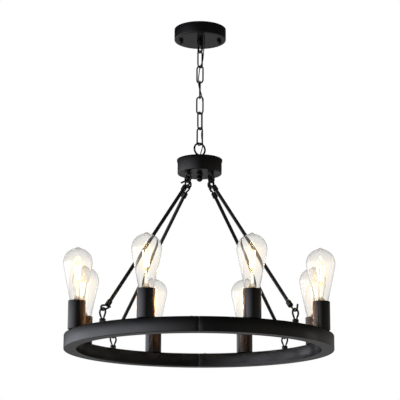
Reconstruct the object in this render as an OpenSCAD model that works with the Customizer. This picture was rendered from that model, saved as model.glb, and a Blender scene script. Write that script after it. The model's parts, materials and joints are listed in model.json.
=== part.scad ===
// Candle chandelier: a black ring on four rods, eight bulbs in plain cups, hung on a short chain.
// The origin is the centre of the ceiling face, Z points up and -Y is the front.

/* [Ceiling plate] */
// Diameter of the ceiling canopy
canopy_d = 120; // [116:1:150]
// Depth of the canopy below the ceiling
canopy_h = 27; // [25:1:40]
// Sheet thickness of the canopy, hub and cups
shell_t = 1.2; // [0.8:0.1:1.6]
// Outer radius of the pressed edges
edge_r = 2; // [1.8:0.1:3]
// Distance between the two studs that carry the canopy
stud_spacing = 89; // [86:0.5:94]
// Diameter of the studs
stud_d = 4; // [3:0.1:5]
// Diameter of the knobs under the canopy
knob_d = 10.6; // [9:0.1:13]
// Height of the knobs
knob_h = 6.6; // [5:0.1:9]
// Width of the ceiling bracket
bracket_w = 20; // [16:1:26]
// Thickness of the ceiling bracket
bracket_t = 2.5; // [2:0.1:4]
// Length of bracket beyond each stud
bracket_end = 7.5; // [6:0.5:9]
// Distance between the centres of the two mounting slots
slot_spacing = 70; // [60:1:71]
// Overall length of a mounting slot
slot_l = 10; // [8:0.5:12]
// Width of a mounting slot
slot_w = 4.5; // [4:0.1:6]

/* [Chain] */
// Wire diameter of a chain link
link_wire = 3.6; // [2.6:0.1:3.9]
// Outer width of a chain link
link_w = 18.2; // [17:0.1:22]
// Outer length of a chain link
link_l = 44.8; // [40:0.1:50]
// Wire diameter of the loop under the canopy
bail_wire = 4.4; // [3:0.1:4.6]
// Length of that loop below its collar
bail_l = 17.2; // [16:0.1:28]
// Diameter of the collar that holds it
collar_d = 15; // [14.6:0.1:20]
// Height of the collar
collar_h = 14; // [9:0.5:15]
// Outer diameter of the round loop on the hub
hub_loop_d = 32.7; // [29:0.1:36]
// Wire diameter of the round loop
hub_loop_wire = 4.3; // [3.2:0.1:4.6]
// Diameter of the collar under the round loop
hub_collar_d = 14; // [13:0.1:18]
// Height of the collar under the round loop
hub_collar_h = 11; // [8:0.5:14]

/* [Hub] */
// Diameter of the hub can
hub_d = 101; // [96:1:120]
// Overall height of the hub
hub_h = 33.8; // [32:0.2:48]
// Height of the lid's rim
lid_h = 4.2; // [3.4:0.1:7]
// Diameter of the threaded tubes
tube_d = 9.7; // [9:0.1:10.5]
// Bore of the threaded tubes
tube_bore = 7; // [5:0.1:7.4]
// Diameter of the finial's ball
ball_d = 14; // [12:0.5:18]
// Height of the finial
finial_h = 17.6; // [15:0.2:24]

/* [Rods] */
// Distance of the hub's eyes from the centre
hub_eye_r = 37; // [34:0.5:39]
// Diameter of a rod
rod_d = 8; // [6:0.1:9]
// Wall of a rod
rod_wall = 1; // [0.6:0.1:1.5]
// Diameter of the cap on each end of a rod
cap_d = 12; // [11:0.1:15]
// Length of that cap
cap_l = 13; // [9:0.5:16]
// Wire diameter of the hooks and the eyes
hook_wire = 4.2; // [3:0.1:4.3]
// Bend radius of a hook at its middle line
hook_r = 5.2; // [5:0.1:6]
// Length of a hook's long free end
hook_tail = 21; // [8:0.5:22]
// Distance from an eye's wire to the cap's end
hook_reach = 13; // [12:0.5:18]
// How far a rod's axis passes inside the ring's eye
rod_shift = 5.5; // [0:0.1:6]
// Height of a hub eye
hub_eye_h = 27.5; // [26.5:0.5:36]
// Height of a ring eye
ring_eye_h = 33.5; // [28:0.5:36]
// Outer width of an eye
eye_w = 22; // [20.5:0.5:24]
// Diameter of the boss under an eye
boss_d = 13.5; // [10:0.1:15]
// Height of that boss
boss_h = 9; // [6:0.5:9.5]

/* [Ring] */
// Outer diameter of the ring
ring_d = 600; // [560:5:700]
// Width of the ring's section
ring_w = 28; // [25:0.5:34]
// Height of the ring's section
ring_h = 31.5; // [26:0.5:40]
// Wall of the ring's section
ring_wall = 1.2; // [1:0.1:2]
// Height from the ring's underside to the hub's underside
ring_drop = 405.3; // [380:0.1:480]
// Angle that a splice reaches each way past a seam
splice_angle = 6; // [4:0.5:9]
// Distance of the splice screws from the seam
screw_inset = 15; // [10:0.5:18]
// Diameter of the splice screws
screw_d = 4; // [3:0.1:5]
// Diameter of their heads
screw_head_d = 7.4; // [6.4:0.1:9]
// Height of their heads
screw_head_h = 2.6; // [2:0.1:3.4]

/* [Candle cups and bulbs] */
// Diameter of a candle cup
cup_d = 38; // [36.4:0.1:44]
// Height of a candle cup
cup_h = 62; // [56:1:90]
// Largest diameter of a bulb
bulb_d = 64; // [58:1:68]
// Height of a bulb above its cup
bulb_h = 119; // [112:1:130]
// Radius of the bulb's neck at the cup's rim
neck_r = 16; // [14.5:0.1:16.4]
// Thickness of the bulb's glass
glass_t = 0.8; // [0.6:0.1:1.2]
// Diameter of the bulb's screw base
base_d = 26; // [25:0.1:26.4]
// Length of the bulb below the rim of its cup
base_l = 23.5; // [20:0.5:28]
// Length of a filament
filament_l = 34; // [30:1:46]

/* [Hidden] */
$fn = 64;
ring_fn = 240;

// Clearances
fit = 0.1; // round parts in holes
play = 0.3; // wires that hang in each other
touch = 0.3; // shells that slide over each other
bead = 0.1; // extra diameter of the bead where a bent wire meets a straight one

// Colours
black = [0.05, 0.05, 0.055];
steel = [0.62, 0.62, 0.6];
brass = [0.75, 0.65, 0.42];
dark_plastic = [0.1, 0.1, 0.1];
clear_glass = [0.85, 0.88, 0.9, 0.35];

// Chain: each link's turn about the vertical, the canopy loop first and the hub loop last
bail_turn = -37;
link_turns = [48, -18, 88, -12, 52, -36];
hub_loop_turn = 32;
link_pitch = link_l - 2 * link_wire - play;
bail_bottom = -canopy_h - collar_h - bail_l;
chain_top = bail_bottom + bail_wire + link_wire + play;
function link_z(i) = chain_top - link_l / 2 - link_pitch * i;
chain_bottom = link_z(len(link_turns) - 1) - link_l / 2;
hub_loop_top = chain_bottom + link_wire + hub_loop_wire + play;
hub_loop_z = hub_loop_top - hub_loop_d / 2;

// Hub: from its top face down
hub_top = hub_loop_top - hub_loop_d + hub_loop_wire / 2 - hub_collar_h;
hub_bottom = hub_top - hub_h;
lid_d = hub_d + 2 * touch + 2 * shell_t;
can_top = hub_top - shell_t - touch;
tube_end = 6; // how far a threaded tube goes into its collar
nut_h = 4;
nut_r = 7;

// Ring and rods
ring_bottom = hub_bottom - ring_drop;
ring_top = ring_bottom + ring_h;
ring_mid_r = ring_d / 2 - ring_w / 2;
seam = 0.3;
rod_angles = [225, 315, 45, 135];
top_tails = [1, -1, 1, 1]; // 1 turns a free end away from the centre
low_tails = [-1, 1, -1, -1];
low_lengths = [hook_tail, hook_tail / 2, hook_tail, hook_tail];
low_opens = [26, 48, 26, 26]; // how far a free end turns away from the rod
top_open = 26;
eye_r = (eye_w - hook_wire) / 2;
eye_tip = 3; // height where an eye's legs would meet
high_z = hub_bottom - hub_eye_h + hook_wire / 2;
low_z = ring_top + ring_eye_h - hook_wire / 2;
rod_run = ring_mid_r - hub_eye_r;
rod_rise = high_z - low_z;
rod_length = sqrt(rod_run * rod_run + rod_rise * rod_rise - rod_shift * rod_shift);
rod_tilt = atan2(rod_run, rod_rise) - atan2(rod_shift, rod_length);
eye_shank_d = 5;
eye_shank_l = 5;

// Cups and bulbs
lamp_angles = [for (i = [0:7]) 22.5 + 45 * i];
cup_top = ring_top + cup_h;
holder_gap = 4; // from the cup's rim down to the lamp holder
holder_wall = 2.6;
holder_d = base_d + 2 * touch + 2 * holder_wall;
shell_top = -1; // of the bulb's metal base, from the rim
contact_h = 4.5;
dome_r = bulb_d / 2;
tip_h = 3;
tip_r = 4;
tip_blend = 16; // angle from the axis where the dome runs into the tip
dome_z = bulb_h - tip_h - dome_r;
lead_d = 3;

// Power cord: its diameter and the points that it passes through
cord_d = 2.4;
cord_x = 10.4;
cord_points = [
    [24, 0, -13], [20, 0, -13], [16, 0, -13], [11.9, 0, -16.6], [10.5, 0, -23], [10.4, 0, -31], [9.3, 1.2, -42],
    [8.1, 1.5, -53], [7.5, 0.5, -63], [6.2, -3.8, -77], [3, -6.2, -87], [-0.4, -5.8, -94], [-1.4, -3, -101],
    [-2.4, 1, -109], [-3.4, 4.6, -118], [-3.6, 5, -128], [-2.2, 3.2, -138], [0.6, 0, -149], [3.2, -3, -158],
    [4.8, -5, -167], [6.6, -5.8, -179], [7, -6, -192], [5.8, -5.4, -205], [5.6, -3.2, -217], [5.6, -0.8, -229],
    [5.6, 1.1, -240], [4, 3.4, -252], [4.8, 2.6, -264], [6.7, 0, -274], [6.4, -1, -283], [3.8, -0.6, -294],
    [1, 0, -303], [0, 0, -311], [0, 0, -319], [0.6, 0, -327], [3.2, 0, -334], [8, 0, -337], [13, 0, -337],
    [18, 0, -337]];
cord_steps = 2;

// A wire bent to part of a circle in the XZ plane, from one angle over a sweep
module bent_wire(bend_r, wire_d, start, sweep) {
    rotate([90, 0, 0])
        rotate([0, 0, start])
            rotate_extrude(angle = sweep)
                translate([bend_r, 0])
                    circle(d = wire_d);
}

// A straight wire between two points
module straight_wire(a, b, wire_d) {
    run = b - a;
    reach = norm(run);
    translate(a)
        rotate([0, acos(run[2] / reach), atan2(run[1], run[0])])
            cylinder(d = wire_d, h = reach);
}

// A pressed pan, closed below and open above, with its rim at height 0
module pan(outer_d, depth, wall, corner) {
    steps = 6;
    big_r = outer_d / 2;
    outer = [for (i = [0:steps]) let (a = -90 + 90 * i / steps)
        [big_r - corner + corner * cos(a), -depth + corner + corner * sin(a)]];
    inner = [for (i = [steps:-1:0]) let (a = -90 + 90 * i / steps)
        [big_r - corner + (corner - wall) * cos(a), -depth + corner + (corner - wall) * sin(a)]];
    rotate_extrude()
        polygon(concat([[0, -depth]], outer, [[big_r, 0], [big_r - wall, 0]], inner, [[0, wall - depth]]));
}

// A hollow threaded tube between two heights
module threaded_tube(low, high) {
    translate([0, 0, low])
        difference() {
            cylinder(d = tube_d, h = high - low);
            translate([0, 0, -1])
                cylinder(d = tube_bore, h = high - low + 2);
        }
}

// A hexagon nut with its lower face at height 0
module hex_nut(across, bore_d, depth) {
    difference() {
        cylinder(r = across, h = depth, $fn = 6);
        translate([0, 0, -1])
            cylinder(d = bore_d, h = depth + 2);
    }
}

module at_studs() {
    for (side = [-1, 1])
        translate([side * stud_spacing / 2, 0, 0])
            children();
}

module ceiling_bracket() {
    color(steel)
        difference() {
            translate([-stud_spacing / 2 - bracket_end, -bracket_w / 2, -bracket_t])
                cube([stud_spacing + 2 * bracket_end, bracket_w, bracket_t]);
            at_studs()
                translate([0, 0, -bracket_t - 1])
                    cylinder(d = stud_d + 2 * fit, h = bracket_t + 2);
            translate([0, 0, -bracket_t - 1])
                cylinder(d = tube_d + 2 * fit, h = bracket_t + 2);
            for (side = [-1, 1])
                translate([side * slot_spacing / 2, 0, -bracket_t - 1]) {
                    for (end = [-1, 1])
                        translate([end * (slot_l - slot_w) / 2, 0, 0])
                            cylinder(d = slot_w, h = bracket_t + 2);
                    translate([-(slot_l - slot_w) / 2, -slot_w / 2, 0])
                        cube([slot_l - slot_w, slot_w, bracket_t + 2]);
                }
        }
}

module bracket_studs() {
    stud_l = canopy_h + knob_h - 2;
    color(steel)
        at_studs() {
            translate([0, 0, -stud_l])
                cylinder(d = stud_d, h = stud_l);
            translate([0, 0, -bracket_t - nut_h])
                hex_nut(stud_d, stud_d + 2 * fit, nut_h);
        }
}

module canopy() {
    color(black)
        difference() {
            pan(canopy_d, canopy_h, shell_t, edge_r);
            at_studs()
                translate([0, 0, -canopy_h - 1])
                    cylinder(d = stud_d + 2 * touch, h = shell_t + 2);
            translate([0, 0, -canopy_h - 1])
                cylinder(d = tube_d + 2 * fit, h = shell_t + 2);
            translate([cord_x, 0, -canopy_h - 1])
                cylinder(d = cord_d + 2.2, h = shell_t + 2);
        }
}

module canopy_knobs() {
    color(black)
        at_studs()
            translate([0, 0, -canopy_h])
                difference() {
                    union() {
                        translate([0, 0, -knob_h * 0.75])
                            cylinder(d = knob_d, h = knob_h * 0.75);
                        translate([0, 0, -knob_h])
                            cylinder(d1 = knob_d * 0.7, d2 = knob_d, h = knob_h * 0.25);
                    }
                    translate([0, 0, 1 - knob_h])
                        cylinder(d = stud_d + 2 * fit, h = knob_h);
                }
}

module canopy_tube() {
    color(steel) {
        threaded_tube(-canopy_h - tube_end, -canopy_h + shell_t + nut_h + 2);
        translate([0, 0, -canopy_h + shell_t])
            hex_nut(nut_r, tube_d + 2 * fit, nut_h);
    }
}

module canopy_loop() {
    leg_x = (collar_d - bail_wire) / 2;
    bend_z = bail_bottom + collar_d / 2;
    color(black) {
        difference() {
            union() {
                translate([0, 0, -canopy_h - collar_h])
                    cylinder(d = collar_d, h = collar_h);
                rotate([0, 0, bail_turn]) {
                    for (side = [-1, 1])
                        translate([side * leg_x, 0, bend_z])
                            cylinder(d = bail_wire, h = -canopy_h - collar_h + 1 - bend_z);
                    translate([0, 0, bend_z])
                        bent_wire(leg_x, bail_wire, 180, 180);
                }
            }
            translate([0, 0, -canopy_h - tube_end - touch])
                cylinder(d = tube_d + 2 * fit, h = tube_end + 1);
        }
    }
}

module canopy_wiring() {
    color(dark_plastic) {
        translate([cord_x, 0, -canopy_h + fit])
            difference() {
                union() {
                    cylinder(d = cord_d + 2, h = shell_t);
                    translate([0, 0, shell_t])
                        cylinder(d = cord_d + 3.4, h = 1.2);
                }
                translate([0, 0, -1])
                    cylinder(d = cord_d + 2 * touch, h = shell_t + 4);
            }
        translate(cord_points[0])
            rotate([0, 90, 0])
                cylinder(d1 = 8, d2 = 6, h = 15);
    }
}

module chain_link(i) {
    bend = (link_w - link_wire) / 2;
    half = (link_l - link_w) / 2;
    color(black)
        translate([0, 0, link_z(i)])
            rotate([0, 0, link_turns[i]]) {
                for (side = [-1, 1])
                    translate([side * bend, 0, -half])
                        cylinder(d = link_wire, h = 2 * half);
                translate([0, 0, half])
                    bent_wire(bend, link_wire, 0, 180);
                translate([0, 0, -half])
                    bent_wire(bend, link_wire, 180, 180);
            }
}

module hub_loop() {
    color(black)
        difference() {
            union() {
                translate([0, 0, hub_loop_z])
                    rotate([0, 0, hub_loop_turn])
                        bent_wire((hub_loop_d - hub_loop_wire) / 2, hub_loop_wire, 0, 360);
                translate([0, 0, hub_top])
                    cylinder(d = hub_collar_d, h = hub_collar_h);
            }
            translate([0, 0, hub_top - 1])
                cylinder(d = tube_d + 2 * fit, h = tube_end + touch + 1);
            translate([0, 0, hub_top])
                cylinder(d = cord_d + 3, h = hub_collar_h + hub_loop_wire);
        }
}

module hub_lid() {
    color(black)
        difference() {
            translate([0, 0, hub_top - lid_h])
                cylinder(d = lid_d, h = lid_h);
            translate([0, 0, hub_top - lid_h - 1])
                cylinder(d = lid_d - 2 * shell_t, h = lid_h + 1 - shell_t);
            translate([0, 0, hub_top - shell_t - 1])
                cylinder(d = tube_d + 2 * fit, h = shell_t + 2);
        }
}

module at_hub_eyes() {
    for (a = rod_angles)
        rotate([0, 0, a])
            translate([hub_eye_r, 0, 0])
                children();
}

module hub_can() {
    color(black)
        difference() {
            translate([0, 0, can_top])
                pan(hub_d, can_top - hub_bottom, shell_t, edge_r);
            translate([0, 0, hub_bottom - 1])
                cylinder(d = tube_d + 2 * fit, h = shell_t + 2);
            at_hub_eyes()
                translate([0, 0, hub_bottom - 1])
                    cylinder(d = eye_shank_d + 2 * fit, h = shell_t + 2);
        }
}

module hub_tube() {
    window_w = tube_bore - 1;
    color(steel) {
        difference() {
            threaded_tube(hub_bottom - tube_end, hub_top + tube_end);
            translate([0, -window_w / 2, hub_bottom + 7])
                cube([tube_d, window_w, 16]);
        }
        for (z = [hub_top - shell_t - nut_h, hub_bottom + shell_t])
            translate([0, 0, z])
                hex_nut(nut_r, tube_d + 2 * fit, nut_h);
    }
}

module hub_finial() {
    flange_h = 4;
    neck_d = ball_d - 1.6;
    color(black)
        translate([0, 0, hub_bottom])
            difference() {
                union() {
                    translate([0, 0, -flange_h])
                        cylinder(d1 = ball_d, d2 = ball_d + 2, h = flange_h);
                    translate([0, 0, ball_d / 2 - finial_h])
                        cylinder(d = neck_d, h = finial_h - ball_d / 2 - 1);
                    translate([0, 0, ball_d / 2 - finial_h])
                        sphere(d = ball_d);
                }
                translate([0, 0, -tube_end - touch])
                    cylinder(d = tube_d + 2 * fit, h = tube_end + 1);
            }
}

// An eye of bent wire that stands up from its seat at height 0, its plane across the X axis
module eye(height) {
    middle = height - hook_wire / 2 - eye_r;
    lean = asin(eye_r / (middle - eye_tip));
    rotate([0, 0, 90]) {
        translate([0, 0, middle])
            bent_wire(eye_r, hook_wire, -lean, 180 + 2 * lean);
        for (side = [-1, 1]) {
            leg_top = [side * eye_r * cos(lean), 0, middle - eye_r * sin(lean)];
            straight_wire([0, 0, eye_tip], leg_top, hook_wire);
            translate(leg_top)
                sphere(d = hook_wire + bead);
        }
    }
    cylinder(d = boss_d, h = boss_h);
    translate([0, 0, -eye_shank_l])
        cylinder(d = eye_shank_d, h = eye_shank_l + 1);
}

module hub_eyes() {
    color(black)
        at_hub_eyes() {
            translate([0, 0, hub_bottom])
                mirror([0, 0, 1])
                    eye(hub_eye_h);
            translate([0, 0, hub_bottom + shell_t])
                hex_nut(eye_shank_d, eye_shank_d + 2 * fit, eye_shank_l - shell_t);
        }
}

module hub_wiring() {
    color(dark_plastic)
        translate(cord_points[len(cord_points) - 1])
            rotate([0, 90, 0])
                cylinder(d1 = 8, d2 = 6, h = 15);
}

// The hollow section of the ring, drawn from its middle line
module ring_section(width, height, wall) {
    difference() {
        translate([ring_mid_r - width / 2, 0])
            square([width, height]);
        translate([ring_mid_r - width / 2 + wall, wall])
            square([width - 2 * wall, height - 2 * wall]);
    }
}

// Places children on the ring's middle line at an angle, at the height of the ring's top
module on_ring(a) {
    rotate([0, 0, a])
        translate([ring_mid_r, 0, ring_top])
            children();
}

// The angle along the ring's middle line of a length
function arc_angle(length) = length / ring_mid_r * 180 / PI;

// A half of the ring, over the angles from start to start + 180
module ring_half(start) {
    cut = arc_angle(seam / 2);
    color(black)
        difference() {
            translate([0, 0, ring_bottom])
                rotate([0, 0, start + cut])
                    rotate_extrude(angle = 180 - 2 * cut, $fn = ring_fn)
                        ring_section(ring_w, ring_h, ring_wall);
            for (a = lamp_angles)
                if (inside_half(a, start))
                    on_ring(a)
                        translate([0, 0, -ring_wall - 1])
                            cylinder(d = tube_d + 2 * fit, h = ring_wall + 2);
            for (a = rod_angles)
                if (inside_half(a, start))
                    on_ring(a)
                        translate([0, 0, -ring_wall - 1])
                            cylinder(d = eye_shank_d + 2 * fit, h = ring_wall + 2);
            splice_screws(start, 2 * fit);
        }
}

function inside_half(a, start) = let (turn = (a - start + 720) % 360) turn < 180;

// The shanks of the two screws near the end of a half, with extra diameter for their holes
module splice_screws(start, extra) {
    depth = ring_wall + 4;
    rotate([0, 0, start + 180 - arc_angle(screw_inset)]) {
        translate([ring_mid_r, 0, ring_top - depth])
            cylinder(d = screw_d + extra, h = depth + 1);
        translate([ring_mid_r - ring_w / 2 - 1, 0, ring_bottom + ring_h / 2])
            rotate([0, 90, 0])
                cylinder(d = screw_d + extra, h = depth + 1);
    }
}

module ring_splices() {
    width = ring_w - 2 * ring_wall - 2 * touch;
    height = ring_h - 2 * ring_wall - 2 * touch;
    color(steel)
        for (start = [-90, 90])
            difference() {
                translate([0, 0, ring_bottom + ring_wall + touch])
                    rotate([0, 0, start + 180 - splice_angle])
                        rotate_extrude(angle = 2 * splice_angle, $fn = ring_fn)
                            ring_section(width, height, 1.5);
                splice_screws(start, 2 * fit);
            }
}

module ring_screws() {
    color(black)
        for (start = [-90, 90]) {
            rotate([0, 0, start + 180 - arc_angle(screw_inset)]) {
                translate([ring_mid_r, 0, ring_top])
                    pan_head_screw();
                translate([ring_mid_r - ring_w / 2 - fit, 0, ring_bottom + ring_h / 2])
                    rotate([0, -90, 0])
                        pan_head_screw();
            }
        }
}

// A pan head screw whose head sits on height 0
module pan_head_screw() {
    cylinder(d1 = screw_head_d, d2 = screw_head_d * 0.7, h = screw_head_h);
    translate([0, 0, -ring_wall - 4])
        cylinder(d = screw_d, h = ring_wall + 4);
}

module ring_eyes() {
    color(black)
        for (a = rod_angles)
            on_ring(a)
                eye(ring_eye_h);
}

// A lead in each half of the ring, under its four lamp holders
module ring_wiring() {
    color(dark_plastic)
        for (start = [-90, 90])
            translate([0, 0, ring_bottom + ring_wall + lead_d / 2 + fit])
                rotate([0, 0, start + splice_angle + 2])
                    rotate_extrude(angle = 180 - 2 * splice_angle - 4, $fn = ring_fn)
                        translate([ring_mid_r, 0])
                            circle(d = lead_d, $fn = 24);
}

// Places children on a rod's axis, with Z from the hub's eye to the ring's eye
module on_rod(i) {
    rotate([0, 0, rod_angles[i]])
        translate([hub_eye_r, 0, high_z])
            rotate([0, 180 - rod_tilt, 0])
                children();
}

module rod(i) {
    start = hook_reach + cap_l / 3 + touch;
    color(black)
        on_rod(i)
            translate([0, 0, start])
                difference() {
                    cylinder(d = rod_d, h = rod_length - 2 * start);
                    translate([0, 0, -1])
                        cylinder(d = rod_d - 2 * rod_wall, h = rod_length - 2 * start + 2);
                }
}

// A cap and its hook at a rod's start, the hook round an eye's wire that is shifted along X
module hook(side, shift, tail, open) {
    middle = [shift, 0, hook_r - hook_wire - play];
    shank = [0, 0, hook_reach + 1];
    run = shank - middle;
    lean = atan2(run[2], run[0]) - side * acos(hook_r / norm(run));
    bend_start = middle + hook_r * [cos(lean), 0, sin(lean)];
    bend_end = middle + hook_r * [-side * cos(open), 0, -sin(open)];
    difference() {
        translate([0, 0, hook_reach])
            cylinder(d = cap_d, h = cap_l);
        translate([0, 0, hook_reach + cap_l / 3])
            cylinder(d = rod_d + 2 * fit, h = cap_l);
    }
    straight_wire(shank, bend_start, hook_wire);
    translate(middle)
        bent_wire(hook_r, hook_wire, side > 0 ? 180 + open : lean, side > 0 ? 180 - open + lean : 360 - open - lean);
    straight_wire(bend_end, bend_end + tail * [-side * sin(open), 0, cos(open)], hook_wire);
    for (end = [bend_start, bend_end])
        translate(end)
            sphere(d = hook_wire + bead);
}

module rod_hooks(i) {
    color(black)
        on_rod(i) {
            hook(top_tails[i], 0, hook_tail, top_open);
            translate([0, 0, rod_length])
                rotate([0, 180, 0])
                    hook(-low_tails[i], rod_shift, low_lengths[i], low_opens[i]);
        }
}

module candle_cup(i) {
    color(black)
        on_ring(lamp_angles[i])
            difference() {
                cylinder(d = cup_d, h = cup_h);
                translate([0, 0, shell_t])
                    cylinder(d = cup_d - 2 * shell_t, h = cup_h);
                translate([0, 0, -1])
                    cylinder(d = tube_d + 2 * fit, h = shell_t + 2);
            }
}

module lamp_holders() {
    high = cup_h - holder_gap;
    seat = cup_h - base_l - touch;
    for (a = lamp_angles)
        on_ring(a) {
            color(dark_plastic)
                difference() {
                    translate([0, 0, shell_t])
                        cylinder(d = holder_d, h = high - shell_t);
                    translate([0, 0, seat])
                        cylinder(d = base_d + 2 * touch, h = high);
                    translate([0, 0, shell_t - 1])
                        cylinder(d = tube_d + 2 * fit, h = tube_end + 1);
                    cylinder(d = tube_bore, h = high);
                }
            color(steel)
                threaded_tube(-ring_wall - 3, shell_t + tube_end - touch);
        }
}

// The half outline of a bulb, from its neck to its tip, drawn in by an inset
function bulb_outline(inset) =
    let (r = dome_r - inset)
    let (slope = asin((dome_r - neck_r) / norm([dome_z, dome_r - neck_r])))
    let (steps = 12)
    concat(
        [[base_d / 2 - inset, shell_top], [neck_r - inset, 2]],
        [for (i = [0:steps]) let (a = -slope + (90 + slope - tip_blend) * i / steps) [r * cos(a), dome_z + r * sin(a)]]);

module bulb_glass(i) {
    outer = bulb_outline(0);
    inner = bulb_outline(glass_t);
    tip = [[tip_r + 2.4, bulb_h - tip_h - 0.4], [tip_r + 1, bulb_h - tip_h + 0.4], [tip_r, bulb_h - tip_h / 2],
        [tip_r * 0.6, bulb_h - 0.4], [0, bulb_h]];
    count = len(inner);
    color(clear_glass)
        on_ring(lamp_angles[i])
            translate([0, 0, cup_h])
                rotate_extrude()
                    polygon(concat(outer, tip, [[0, bulb_h - tip_h - glass_t]],
                        [for (k = [count - 1:-1:0]) inner[k]]));
}

module bulb_base(i) {
    thread_top = shell_top;
    thread_low = contact_h - base_l;
    turns = 6;
    ridge = 0.5;
    rib = (thread_top - thread_low) / (2 * turns);
    stem_top = dome_z - 4;
    filament_low = stem_top - filament_l;
    filament_in = 4;
    filament_out = 8;
    on_ring(lamp_angles[i])
        translate([0, 0, cup_h]) {
            color(brass)
                rotate_extrude()
                    polygon(concat(
                        [[0, thread_top], [base_d / 2 - ridge, thread_top]],
                        [for (k = [1:2 * turns - 1]) [base_d / 2 - (k % 2 == 1 ? 0 : 2 * ridge), thread_top - rib * k]],
                        [[base_d / 2 - ridge, thread_low], [6, 1.6 - base_l], [4.5, -base_l], [0, -base_l]]));
            color(clear_glass) {
                translate([0, 0, thread_top])
                    cylinder(d1 = 20, d2 = 7, h = 22);
                translate([0, 0, thread_top + 21])
                    cylinder(d = 4, h = stem_top - thread_top - 21);
            }
            color("khaki")
                for (a = [0:90:270])
                    rotate([0, 0, a + 20]) {
                        straight_wire([filament_in, 0, filament_low], [filament_out, 0, stem_top - 2], 1.8);
                        straight_wire([1, 0, filament_low - 5], [filament_in, 0, filament_low + 1], 0.8);
                        straight_wire([1, 0, stem_top - 1], [filament_out, 0, stem_top - 3], 0.8);
                    }
        }
}

// A point on a smooth curve through four points
function curve_point(a, b, c, d, t) =
    0.5 * (2 * b + (c - a) * t + (2 * a - 5 * b + 4 * c - d) * t * t + (3 * b - 3 * c + d - a) * t * t * t);

function route(points, steps) =
    let (last = len(points) - 1)
    concat(
        [for (i = [0:last - 1]) for (k = [0:steps - 1])
            curve_point(points[max(i - 1, 0)], points[i], points[i + 1], points[min(i + 2, last)], k / steps)],
        [points[last]]);

function unit(v) = v / norm(v);

// A round tube swept along points, whose rings stand across the run of the points
module swept_tube(points, tube_r, sides) {
    count = len(points);
    rings = [for (i = [0:count - 1])
        let (run = unit(points[min(i + 1, count - 1)] - points[max(i - 1, 0)]))
        let (across = unit(cross([0, 1, 0], run)))
        let (up = cross(run, across))
        for (k = [0:sides - 1])
            let (a = 360 * k / sides)
            points[i] + tube_r * (cos(a) * across + sin(a) * up)];
    walls = [for (i = [0:count - 2]) for (k = [0:sides - 1])
        let (next = (k + 1) % sides)
        for (face = [[i * sides + k, (i + 1) * sides + k, (i + 1) * sides + next],
            [i * sides + k, (i + 1) * sides + next, i * sides + next]])
            face];
    low_end = [for (k = [0:sides - 1]) k];
    high_end = [for (k = [sides - 1:-1:0]) (count - 1) * sides + k];
    polyhedron(points = rings, faces = concat(walls, [low_end, high_end]));
}

module power_cord() {
    color(dark_plastic)
        swept_tube(route(cord_points, cord_steps), cord_d / 2, 8);
}

ceiling_bracket();
bracket_studs();
canopy();
canopy_knobs();
canopy_tube();
canopy_loop();
canopy_wiring();
power_cord();
for (i = [0:5])
    chain_link(i);
hub_loop();
hub_lid();
hub_can();
hub_tube();
hub_finial();
hub_eyes();
hub_wiring();
ring_half(90);  // ring_left
ring_half(-90);  // ring_right
ring_splices();
ring_screws();
ring_eyes();
ring_wiring();
for (i = [0:3])
    rod(i);
for (i = [0:3])
    rod_hooks(i);
for (i = [0:7])
    candle_cup(i);
lamp_holders();
for (i = [0:7])
    bulb_glass(i);
for (i = [0:7])
    bulb_base(i);
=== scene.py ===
"""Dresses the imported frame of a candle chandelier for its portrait.

A ring of painted square tube hangs by four rods from a hub, and by a chain from a ceiling canopy.
It carries eight plain cups with clear filament bulbs. Lengths are in metres, in the frame of the
model: the origin is the centre of the ceiling face, Z points up and -Y is the front.
"""
import json
import logging
import math
from collections.abc import Callable
from dataclasses import dataclass
from enum import Enum

import bpy
from mathutils import Matrix, Vector

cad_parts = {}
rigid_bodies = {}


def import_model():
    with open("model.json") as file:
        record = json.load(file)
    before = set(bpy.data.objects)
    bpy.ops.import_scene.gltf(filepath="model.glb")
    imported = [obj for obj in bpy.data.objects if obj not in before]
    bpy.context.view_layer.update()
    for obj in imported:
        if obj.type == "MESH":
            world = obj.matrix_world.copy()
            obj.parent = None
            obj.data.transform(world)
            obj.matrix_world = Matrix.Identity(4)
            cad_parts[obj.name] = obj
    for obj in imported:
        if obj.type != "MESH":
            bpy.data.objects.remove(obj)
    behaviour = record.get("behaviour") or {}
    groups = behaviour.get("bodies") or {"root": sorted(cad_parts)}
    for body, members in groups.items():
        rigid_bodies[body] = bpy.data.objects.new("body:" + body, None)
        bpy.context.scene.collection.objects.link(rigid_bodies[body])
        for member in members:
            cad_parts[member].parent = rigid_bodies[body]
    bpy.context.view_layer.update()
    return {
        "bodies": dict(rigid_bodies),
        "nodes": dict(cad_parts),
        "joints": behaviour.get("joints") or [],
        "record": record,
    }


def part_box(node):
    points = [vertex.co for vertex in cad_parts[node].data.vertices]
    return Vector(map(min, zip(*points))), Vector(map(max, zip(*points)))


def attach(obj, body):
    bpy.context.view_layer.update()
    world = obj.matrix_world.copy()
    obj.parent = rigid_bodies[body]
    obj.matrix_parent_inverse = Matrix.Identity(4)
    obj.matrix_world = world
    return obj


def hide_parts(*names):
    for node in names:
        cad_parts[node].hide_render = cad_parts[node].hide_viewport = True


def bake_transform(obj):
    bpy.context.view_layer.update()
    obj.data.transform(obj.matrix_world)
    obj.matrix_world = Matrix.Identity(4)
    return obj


log = logging.getLogger("chandelier")

MM = 0.001
LAMP_COUNT = 8
LINK_COUNT = 6
# Radius of the middle line of the ring, where the cups and the eyes stand
RING_RADIUS = 286 * MM
# Number of sides of large, middle and small turned pieces
LARGE, MIDDLE, SMALL = 96, 48, 32

# The radius at which an outline is drawn before it closes to a point on its axis
PIN = 0.3 * MM
UP = Vector((0, 0, 1))

Piece = bpy.types.Object
Pair = tuple[float, float]
Point = tuple[float, float, float]
Colour = tuple[float, float, float, float]
# Distance from the axis and height of a ring of a turned piece
Ring = tuple[float, float]


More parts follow.
